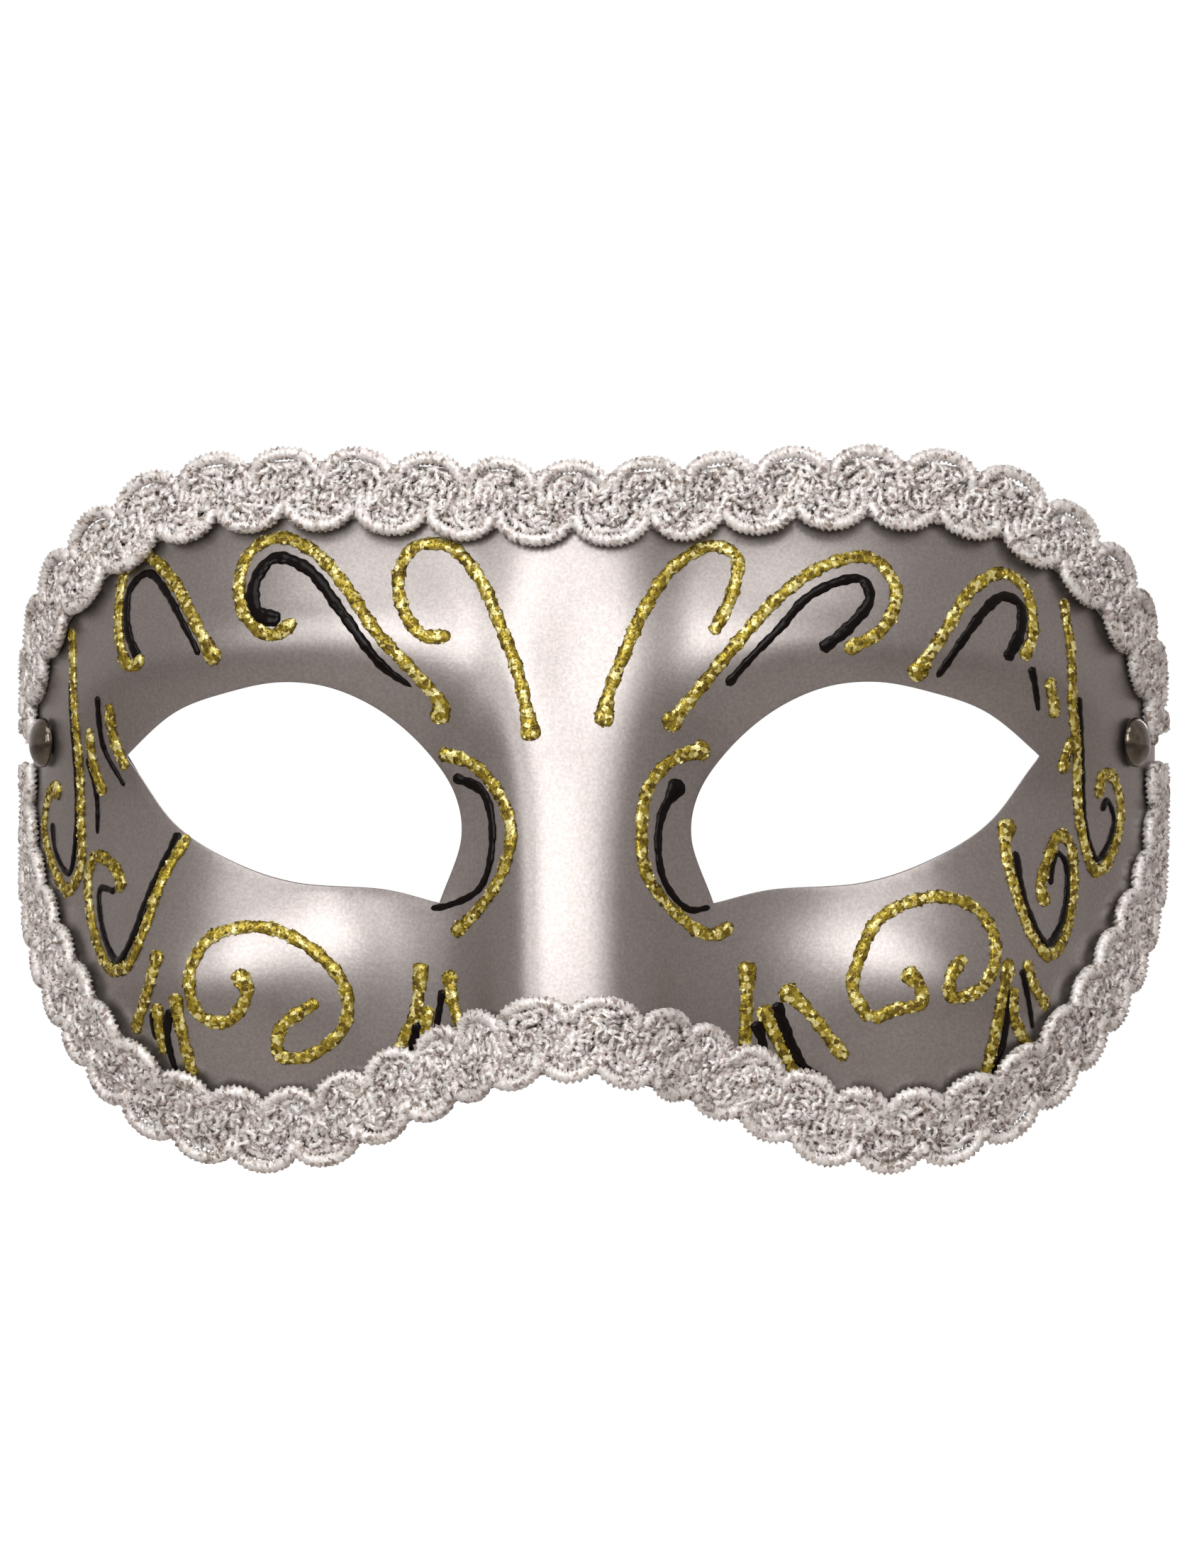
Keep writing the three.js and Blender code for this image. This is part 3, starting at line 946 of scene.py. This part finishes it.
# ---- scrollwork ----
# Each gold line is (route, swelling at its start, swelling at its end), and each black line has its
# half width before the two swellings. A route's points are (u, z), in the order the maker draws them.
LEFT_GOLD = [
    ([(-62, 19), (-64.5, 17.8), (-67, 22), (-69, 30.5), (-66, 34), (-59, 30), (-53, 22.5),
      (-50.5, 18)], 0, 0.8),
    ([(-39, 24), (-42.5, 22), (-46.5, 25), (-48, 30), (-47, 34), (-43, 36), (-38, 34.3), (-32.5, 29),
      (-27.5, 22), (-22, 16), (-19, 12), (-19.5, 9.5)], 0.2, 1.0),
    ([(-17.5, 21.8), (-21.5, 22), (-24.5, 26.5), (-25, 31), (-23, 34.5), (-18, 34.5), (-13.7, 30),
      (-10.5, 23), (-8, 16.5), (-6.4, 9.3), (-6, 7)], 0.1, 1.0),
    ([(-19.5, 5.4), (-14.3, 3.6), (-10.3, -1), (-8.8, -6), (-10.4, -12.3), (-14, -17.3),
      (-17.3, -20.3)], 0.3, 0.2),
    ([(-81.5, 23.5), (-79.5, 16), (-79, 6), (-79.3, -4), (-79.3, -11.6), (-83, -14.5), (-88.5, -11),
      (-92.5, -5.2), (-89, 0.2), (-85.6, -0.3)], 0, 0.5),
    ([(-75.2, 9), (-75.5, 4), (-73.4, -0.7)], 0, 0),
    ([(-69.6, 12.5), (-70, 7.6), (-68.4, 3)], 0, 0),
    ([(-57, -6.3), (-60, -12.3), (-61.5, -20), (-64, -25), (-69, -25.4), (-74.5, -20), (-77, -13.3),
      (-75.2, -9.5), (-69.5, -11.7), (-68, -14.5)], 0, 0.4),
    ([(-47, -25.4), (-45.5, -28.4), (-48, -32.6), (-51.5, -32), (-53, -26), (-50.5, -20.7),
      (-44.5, -19.3), (-38, -22), (-32.8, -27.7), (-32.8, -33.2), (-38, -37.6), (-41.8, -37.4),
      (-41.3, -33.6), (-36.4, -29.7)], 0.7, 0),
    ([(-58, -22.7), (-59.5, -28.3), (-63, -34.7)], 0.4, 0),
    ([(-58, -30.2), (-58, -37.5)], 0.2, 0),
    ([(-55, -28.7), (-54.5, -34.8), (-54, -40.6)], 0.2, 0),
    ([(-21.7, -24.2), (-22.6, -31.4), (-26.2, -38.5)], 0.5, 0),
    ([(-20.8, -30.3), (-21.2, -35.6)], 0.2, 0),
    ([(-17.7, -25.3), (-17.3, -29), (-16.2, -33)], 0.4, 0),
]
RIGHT_GOLD = [
    ([(19, 22), (21.6, 27.4), (22.4, 33), (19, 34.6), (13.6, 31.6), (9.8, 26), (6.7, 19), (4.6, 13.4),
      (3.9, 9)], 0.1, 0.9),
    ([(37.2, 19.7), (42.2, 22.8), (44.5, 28.4), (41.7, 32.8), (35.2, 32), (28.3, 27.4), (22.4, 20.8),
      (17.2, 14.3), (12.6, 8.7)], 0.2, 0.9),
    ([(62.8, 18.6), (65, 23.2), (64.8, 29), (61.2, 31), (55.7, 28.4), (51.3, 22.8), (47.7, 17.2),
      (47, 15.5)], 0, 1.0),
    ([(18.7, 6), (13.7, 4.4), (10.2, 0.4), (9.3, -6), (10, -11.7), (14.2, -17.4), (18.7, -20.3),
      (22, -19)], 0.9, 0.1),
    ([(72.4, 27.5), (72.3, 21), (72.5, 13.7), (75.2, 5.8), (77, -5.6), (80, -11.5), (84.3, -9.7),
      (87.4, -3), (85.2, 1.7), (82, 2.2), (81, -1.2)], 0, 0.2),
    ([(74.2, 7.7), (73, 5), (72.8, 2.4)], 0, 0.2),
    ([(67.5, 16), (69.8, 10.3)], 0, 0),
    ([(63, -4), (62, -7.6), (62.5, -14), (64, -20.2), (67, -23.4), (71, -21.6), (74.5, -14.7),
      (74.6, -8), (72.2, -6.4), (69.5, -10), (67.5, -13.7), (68, -16.5)], 0.9, 0.5),
    ([(45, -25.2), (47, -27.6), (47, -30), (44, -30.8), (41, -32.3)], 0.5, 0.1),
    ([(40.8, -32.3), (38.5, -28), (39.5, -23.5), (42, -18.6), (46, -16), (51, -15), (55.5, -16.6),
      (57.5, -20.2), (57, -24.6), (54.5, -28.2), (51, -29), (51, -26), (53, -23.3)], 0.2, 0),
    ([(59.5, -23.8), (58, -29.8), (57, -40.3)], 0.4, 0),
    ([(60, -27.8), (60, -31.4), (63.5, -36.7)], 0.1, 0),
    ([(62.5, -24), (63.5, -27.2), (67, -31)], 0.2, 0),
    ([(24, -24), (23.8, -31.4), (23.4, -39)], 0.8, 0),
    ([(26, -30.3), (29.3, -37.5), (31.8, -42)], 0.6, 0),
    ([(28.8, -27.7), (32, -30.5), (37.8, -38)], 0.9, 0.2),
]
LEFT_BLACK = [
    ([(-63, 19), (-66, 24), (-67, 28.8), (-64, 31.2), (-59, 27.6), (-54, 21), (-53.2, 19.2)], 0.6, 0, 0),
    ([(-41.2, 24.1), (-44.6, 25.2), (-45.7, 29.2), (-43.4, 33), (-38.2, 31.5), (-32.5, 25),
      (-27, 17.6), (-23, 14.6)], 0.85, 0.3, -0.35),
    ([(-17.4, 2), (-13, -0.2), (-11.5, -6.5), (-13.2, -13.6), (-18, -16.2), (-20.5, -16.6)], 0.6, 0, 0),
    ([(-80.4, 16), (-80.2, 5.6), (-80.8, -6.7), (-82.6, -12), (-87.5, -9), (-89, -4.7)], 0.55, 0, 0.3),
    ([(-76.7, 4.8), (-75.2, -0.5), (-75, -6.3)], 0.45, 0, 0),
    ([(-72, 13.6), (-72.5, 6.3), (-69, 0.6)], 0.45, 0, 0),
    ([(-58.5, -6), (-61.5, -13.7), (-64, -21.7), (-66.5, -24.4), (-71.5, -20.4), (-73.5, -14.3),
      (-69.5, -14.5)], 0.65, 0, 0),
    ([(-59, -31.5), (-59, -35.5)], 0.55, 0, 0),
    ([(-56, -31), (-57, -35.3), (-56.5, -41.4)], 0.6, 0, 0),
    ([(-22.6, -32.4), (-22.9, -37)], 0.8, 0, 0.3),
    ([(-18.6, -28), (-19.8, -35)], 0.5, 0, 0),
]
RIGHT_BLACK = [
    ([(33.8, 19.8), (37.6, 23), (40.7, 27.2), (39.8, 29.8), (36.2, 29.4), (31.8, 27), (28.5, 23.2),
      (24.2, 18.6), (21, 14.8)], 0.7, 0, 0.2),
    ([(60.2, 18.5), (63, 23.5), (63.3, 26.6), (60.7, 27.6), (57.2, 25.4), (53.2, 20.7),
      (50.3, 16)], 0.75, 0, 0),
    ([(14.7, 1.5), (12, -3.5), (11.6, -9), (12.7, -13.3), (15.8, -16.7), (18.8, -16.4)], 0.6, 1.0, 0),
    ([(64.2, 17.6), (66.5, 11.3)], 0.5, 0, 0),
    ([(74, 13.4), (76.6, 3.6), (78.2, -6), (80.7, -9.9), (83.8, -7.5), (85.3, -4), (83.2, -1.4),
      (82, -3)], 0.55, 0, 0.2),
    ([(63.5, -8.6), (64, -16.5), (67, -21.8), (70.5, -19.6), (73, -14.8), (73.2, -10.2), (71.5, -9),
      (69.5, -13.5)], 0.6, 0, 0),
    ([(58.5, -27.8), (59, -35.3), (58, -40)], 0.6, 0, 0),
    ([(61.5, -25.3), (62.5, -29), (64, -33.8)], 0.45, 0, 0),
    ([(25, -32.5), (26, -35), (26.4, -38.5)], 0.7, 0, 0),
    ([(28, -29.8), (29.3, -33.7), (32.2, -39.2), (35, -40.8)], 0.75, 0, 0),
]
GOLD_HALF_WIDTH = 0.92
GOLD_HEIGHT = 0.4
BLACK_HEIGHT = 0.3
BLACK_TAPER = 0.28
FLAKE_SPACING = 0.38
FLAKE_R = 0.26
FLAKE_TILT = 0.8  # radians, either way


def build_gold(word, strokes, seed):
    drawn = [(route, GOLD_HALF_WIDTH, GOLD_HEIGHT, start, end) for route, start, end in strokes]
    gold = mesh_object(f"gold_scrolls_{word}", *bead_mesh(drawn, 0))
    apply_tree(gold, FLAKE_TREE, {
        "Spacing": FLAKE_SPACING * MM, "Flake Radius": FLAKE_R * MM, "Tilt": FLAKE_TILT, "Seed": seed,
        "Material": GLITTER,
    })
    place(gold, GLITTER, "glitter_gold")


def build_black(word, strokes):
    drawn = [(route, half_width, BLACK_HEIGHT, start, end) for route, half_width, start, end in strokes]
    black = mesh_object(f"black_lines_{word}", *bead_mesh(drawn, BLACK_TAPER))
    place(black, ENAMEL, "enamel_black")


# ---- rivets: profiles are (radius, t) points, t along the rivet from the shell's front ----
LATHE_SIDES = 64
AXIS_R = 0.05  # a solid profile starts and ends this close to its axis
DOME_R = 3.65
DOME_H = 2.2
DOME_SEAT = 0.4  # flat parts stand this far off the curved wall
DOME_LIP = 0.22  # height of the dome's rounded lower edge
DOME_STEPS = 15
TUBE_R = 1.7
PIN_R = 0.8
WASHER_R = 3.9
WASHER_TOP = -(SHELL_T + GLUE_GAP + LINING_T + DOME_SEAT)
WASHER_BACK = WASHER_TOP - 0.8
WASHER_BEVEL = 0.15
HOLE_BEVEL = 0.1
BASE_R = 3.4
BASE_TOP = WASHER_BACK - 0.3
BASE_BACK = BASE_TOP - 0.8
BASE_BEVEL = 0.3


def lathe_mesh(name, profile, side, closed=False):
    """Turns a profile about the line through a temple's rivet.

    A closed profile goes round an open middle, and the others end in a face at each end.
    """
    u = side * RIVET_U
    turn = float(turn_at(u))
    out = np.array([math.sin(turn), -math.cos(turn), 0])
    across = np.array([math.cos(turn), math.sin(turn), 0])
    up = np.array([0, 0, 1.0])
    centre = to_space(u, RIVET_Z, 0)
    points = []
    for r, t in profile:
        for k in range(LATHE_SIDES):
            a = math.tau * k / LATHE_SIDES
            points.append(centre + (out * t + (across * math.cos(a) + up * math.sin(a)) * r) * MM)
    rows = [range(i * LATHE_SIDES, (i + 1) * LATHE_SIDES) for i in range(len(profile))]
    faces = []
    for row, following in zip(rows, rows[1:] + (rows[:1] if closed else [])):
        for k in range(LATHE_SIDES):
            k2 = (k + 1) % LATHE_SIDES
            faces.append((row[k], row[k2], following[k2], following[k]))
    if not closed:
        faces.append(tuple(rows[0])[::-1])
        faces.append(tuple(rows[-1]))
    return mesh_object(name, points, faces)


def dome_profile():
    """The cap: its tube from the end near the base, then its flat underside and its dome."""
    lip = DOME_SEAT + DOME_LIP
    points = [(AXIS_R, BASE_TOP + 0.3), (TUBE_R, BASE_TOP + 0.3), (TUBE_R, DOME_SEAT)]
    points += [(DOME_R - 0.25, DOME_SEAT), (DOME_R - 0.05, DOME_SEAT + 0.08), (DOME_R, lip)]
    for i in range(1, DOME_STEPS):
        a = i / DOME_STEPS * math.pi / 2
        points.append((DOME_R * math.cos(a), lip + (DOME_H - DOME_LIP) * math.sin(a)))
    points.append((AXIS_R, DOME_SEAT + DOME_H))
    return points


def washer_profile():
    outer, inner = WASHER_R, RIVET_HOLE_R
    return [
        (inner, WASHER_BACK + HOLE_BEVEL), (inner + HOLE_BEVEL, WASHER_BACK),
        (outer - WASHER_BEVEL, WASHER_BACK), (outer, WASHER_BACK + WASHER_BEVEL),
        (outer, WASHER_TOP - WASHER_BEVEL), (outer - WASHER_BEVEL, WASHER_TOP),
        (inner + HOLE_BEVEL, WASHER_TOP), (inner, WASHER_TOP - HOLE_BEVEL),
    ]


def post_profile():
    """The back: a round base, with a stub of pin that stops just short of the cap's tube."""
    pin_top = BASE_TOP + 0.25
    return [
        (AXIS_R, BASE_BACK), (BASE_R - BASE_BEVEL, BASE_BACK), (BASE_R - 0.09, BASE_BACK + 0.09),
        (BASE_R, BASE_BACK + BASE_BEVEL), (BASE_R, BASE_TOP - 0.1), (BASE_R - 0.1, BASE_TOP),
        (PIN_R, BASE_TOP), (PIN_R, pin_top), (AXIS_R, pin_top),
    ]


def build_rivet(word, side):
    dome = lathe_mesh(f"rivet_dome_{word}", dome_profile(), side)
    place(dome, NICKEL, "rivet_metal", f"rivet_cap_{word}")
    washer = lathe_mesh(f"rivet_ring_{word}", washer_profile(), side, closed=True)
    place(washer, NICKEL, "rivet_metal", f"rivet_washer_{word}")
    post = lathe_mesh(f"rivet_back_{word}", post_profile(), side)
    place(post, NICKEL, "rivet_metal", f"rivet_post_{word}")


# ---- camera, lights, stage ----
CAMERA_DISTANCE = 1.0
CAMERA_AZIMUTH = math.radians(2.6)
CAMERA_AIM = Vector((0.00042, 0.010, 0.00094))
VIEW_WIDTH = 0.17493  # how much the picture takes in across its width, at the aim
FLOOR_Z = -0.5
FLOOR_HALF = 9
FLOOR_COLOUR = (0.56, 0.53, 0.51, 1)
ROOM_COLOUR = (0.50, 0.455, 0.435, 1)  # the light of the room, and what polished pieces mirror
WHITE = (1, 1, 1, 1)


def aim_from(obj, target, away, distance):
    """Stands a camera or light at a distance from its target and turns it to the target."""
    obj.location = target + away * distance
    obj.rotation_euler = (-away).to_track_quat("-Z", "Y").to_euler()


def build_camera():
    data = bpy.data.cameras.new("camera")
    data.sensor_fit = "HORIZONTAL"
    data.sensor_width = 36
    data.lens = data.sensor_width * CAMERA_DISTANCE / VIEW_WIDTH
    data.clip_end = 20
    camera = add_object("camera", data)
    away = Vector((math.sin(CAMERA_AZIMUTH), -math.cos(CAMERA_AZIMUTH), 0))
    aim_from(camera, CAMERA_AIM, away, CAMERA_DISTANCE)
    bpy.context.scene.camera = camera


def softbox(name, azimuth, elevation, distance, size, power):
    """A rectangular light turned to the mask, at degrees round it and above it."""
    data = bpy.data.lights.new(name, "AREA")
    data.shape = "RECTANGLE"
    data.size, data.size_y = size
    data.energy = power
    a, e = math.radians(azimuth), math.radians(elevation)
    away = Vector((math.sin(a) * math.cos(e), -math.cos(a) * math.cos(e), math.sin(e)))
    aim_from(add_object(name, data), Vector(), away, distance)


def build_floor():
    """A pale floor that the camera sees as plain white."""
    corners = [(x * FLOOR_HALF, y * FLOOR_HALF, FLOOR_Z) for x, y in ((-1, -1), (1, -1), (1, 1), (-1, 1))]
    floor = mesh_object("floor", corners, [(0, 1, 2, 3)])
    mat, build, shader = blank_material("pale_floor")
    ray = build.new("ShaderNodeLightPath")
    build.put(shader.inputs["Base Color"], FLOOR_COLOUR)
    build.put(shader.inputs["Roughness"], 0.9)
    build.put(shader.inputs["Emission Color"], WHITE)
    build.put(shader.inputs["Emission Strength"], ray.outputs["Is Camera Ray"])
    floor.data.materials.append(mat)


def build_room():
    """The surroundings: white to the camera, and a soft warm grey to everything else."""
    world = bpy.data.worlds.new("studio")
    bpy.context.scene.world = world
    world.use_nodes = True
    world.node_tree.nodes.clear()
    build = Nodes(world.node_tree)
    ray = build.new("ShaderNodeLightPath")
    tint = build.new("ShaderNodeMix", {
        0: ray.outputs["Is Camera Ray"], 6: ROOM_COLOUR, 7: WHITE,
    }, data_type="RGBA")
    room = build.new("ShaderNodeBackground", {"Color": tint.outputs[2], "Strength": 1.0})
    out = build.new("ShaderNodeOutputWorld")
    build.put(out.inputs["Surface"], room.outputs[0])


def build_stage():
    build_floor()
    build_room()
    bpy.context.scene.view_settings.view_transform = "Standard"
    softbox("key_softbox", -9, 23, 1.4, (0.50, 0.74), 5.8)
    softbox("right_fill", 10, 15, 1.4, (0.36, 0.36), 0.62)
    softbox("top_softbox", -9, 58, 1.3, (1.0, 0.5), 3.9)
    softbox("left_strip", -33, 16, 1.4, (0.20, 0.7), 1.6)
    softbox("back_fill", 165, 30, 1.7, (1.2, 1.2), 8)


build_camera()
build_stage()
build_shell()
build_lining()
build_braid("upper", above_rivets, UPPER_PITCH)
build_braid("lower", below_rivets, LOWER_PITCH)
build_gold("left", LEFT_GOLD, 11)
build_gold("right", RIGHT_GOLD, 23)
build_black("left", LEFT_BLACK)
build_black("right", RIGHT_BLACK)
for word, side in (("left", -1), ("right", 1)):
    build_rivet(word, side)
